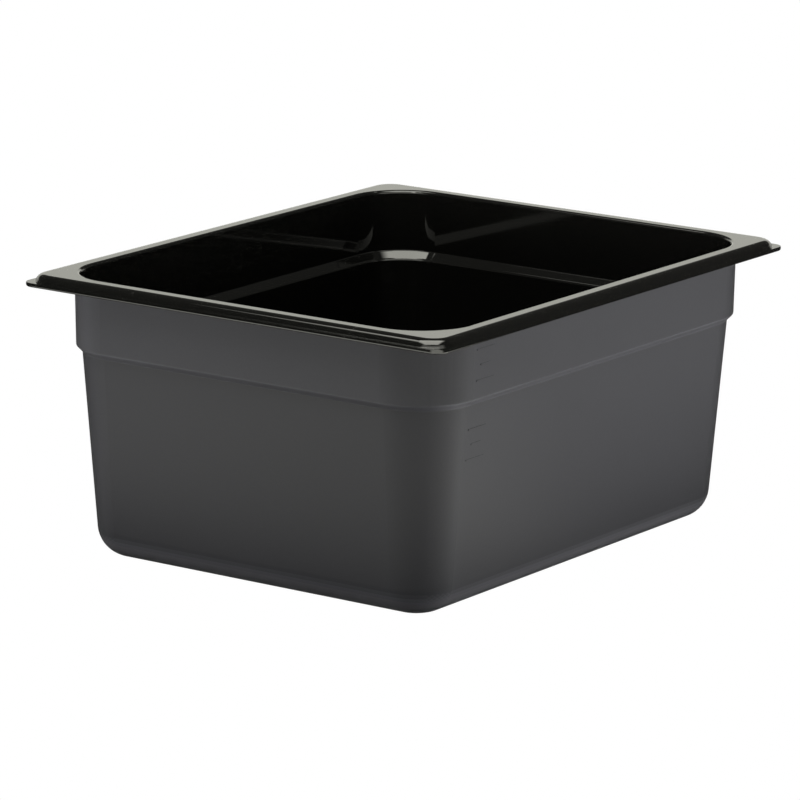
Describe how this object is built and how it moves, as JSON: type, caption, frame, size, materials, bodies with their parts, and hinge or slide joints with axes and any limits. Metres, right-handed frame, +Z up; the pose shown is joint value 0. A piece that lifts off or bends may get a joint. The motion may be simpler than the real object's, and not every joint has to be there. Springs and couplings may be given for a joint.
{
  "type": "food pan",
  "caption": "Deep rectangular black plastic food pan with a tapered well, a stacking shoulder and a raised rim with a flat outer lip.",
  "frame": {"origin": "centre of the base, on the plane that the pan stands on", "axes": "+X along the short side, +Y along the long side, +Z up out of the mouth"},
  "size_m": [0.265, 0.325, 0.152],
  "materials": {
    "black_plastic": "black polycarbonate, polished inside the well and on the rim, fine satin texture on the outside walls"
  },
  "bodies": {
    "root": {"pan": "black_plastic"}
  },
  "joints": []
}
